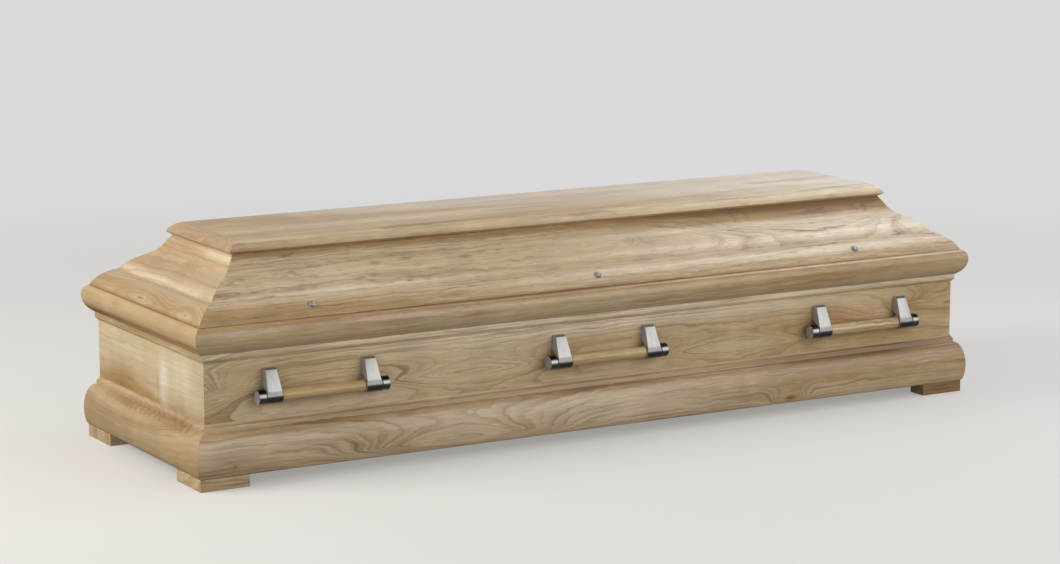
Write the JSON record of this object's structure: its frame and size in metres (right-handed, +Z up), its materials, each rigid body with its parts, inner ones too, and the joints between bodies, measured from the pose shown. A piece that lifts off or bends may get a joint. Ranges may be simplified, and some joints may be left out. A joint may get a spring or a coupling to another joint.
{
  "type": "wooden coffin",
  "caption": "Rectangular ash coffin for burial: hollow body on corner feet, moulded base, lift-off lid with round nose, long cyma slope and flat cap, bar handles along both sides.",
  "frame": {"origin": "on the ground under the middle of the coffin", "axes": "+X along the coffin, +Y from the front long side to the back one, +Z up"},
  "size_m": [2.05, 0.659, 0.5065],
  "materials": {
    "ash_wood": "pale ash under a satin clear coat",
    "grip_wood": "turned ash under a gloss clear coat",
    "satin_nickel": "satin nickel plate, brushed"
  },
  "bodies": {
    "root": {"base_moulding_back": "ash_wood", "base_moulding_front": "ash_wood", "base_moulding_left": "ash_wood", "base_moulding_right": "ash_wood", "cap_board": "ash_wood", "floor_board": "ash_wood", "foot_back_left": "ash_wood", "foot_back_right": "ash_wood", "foot_front_left": "ash_wood", "foot_front_right": "ash_wood", "handle_back_1_bracket_left": "satin_nickel", "handle_back_1_bracket_right": "satin_nickel", "handle_back_1_grip": "grip_wood", "handle_back_1_rod_end_left": "satin_nickel", "handle_back_1_rod_end_right": "satin_nickel", "handle_back_2_bracket_left": "satin_nickel", "handle_back_2_bracket_right": "satin_nickel", "handle_back_2_grip": "grip_wood", "handle_back_2_rod_end_left": "satin_nickel", "handle_back_2_rod_end_right": "satin_nickel", "handle_back_3_bracket_left": "satin_nickel", "handle_back_3_bracket_right": "satin_nickel", "handle_back_3_grip": "grip_wood", "handle_back_3_rod_end_left": "satin_nickel", "handle_back_3_rod_end_right": "satin_nickel", "handle_front_1_bracket_left": "satin_nickel", "handle_front_1_bracket_right": "satin_nickel", "handle_front_1_grip": "grip_wood", "handle_front_1_rod_end_left": "satin_nickel", "handle_front_1_rod_end_right": "satin_nickel", "handle_front_2_bracket_left": "satin_nickel", "handle_front_2_bracket_right": "satin_nickel", "handle_front_2_grip": "grip_wood", "handle_front_2_rod_end_left": "satin_nickel", "handle_front_2_rod_end_right": "satin_nickel", "handle_front_3_bracket_left": "satin_nickel", "handle_front_3_bracket_right": "satin_nickel", "handle_front_3_grip": "grip_wood", "handle_front_3_rod_end_left": "satin_nickel", "handle_front_3_rod_end_right": "satin_nickel", "lid_board_back": "ash_wood", "lid_board_front": "ash_wood", "lid_board_left": "ash_wood", "lid_board_right": "ash_wood", "lid_rail_back": "ash_wood", "lid_rail_front": "ash_wood", "lid_rail_left": "ash_wood", "lid_rail_right": "ash_wood", "lid_screw_back_1": "satin_nickel", "lid_screw_back_2": "satin_nickel", "lid_screw_back_3": "satin_nickel", "lid_screw_front_1": "satin_nickel", "lid_screw_front_2": "satin_nickel", "lid_screw_front_3": "satin_nickel", "wall_back": "ash_wood", "wall_front": "ash_wood", "wall_left": "ash_wood", "wall_right": "ash_wood"}
  },
  "joints": []
}
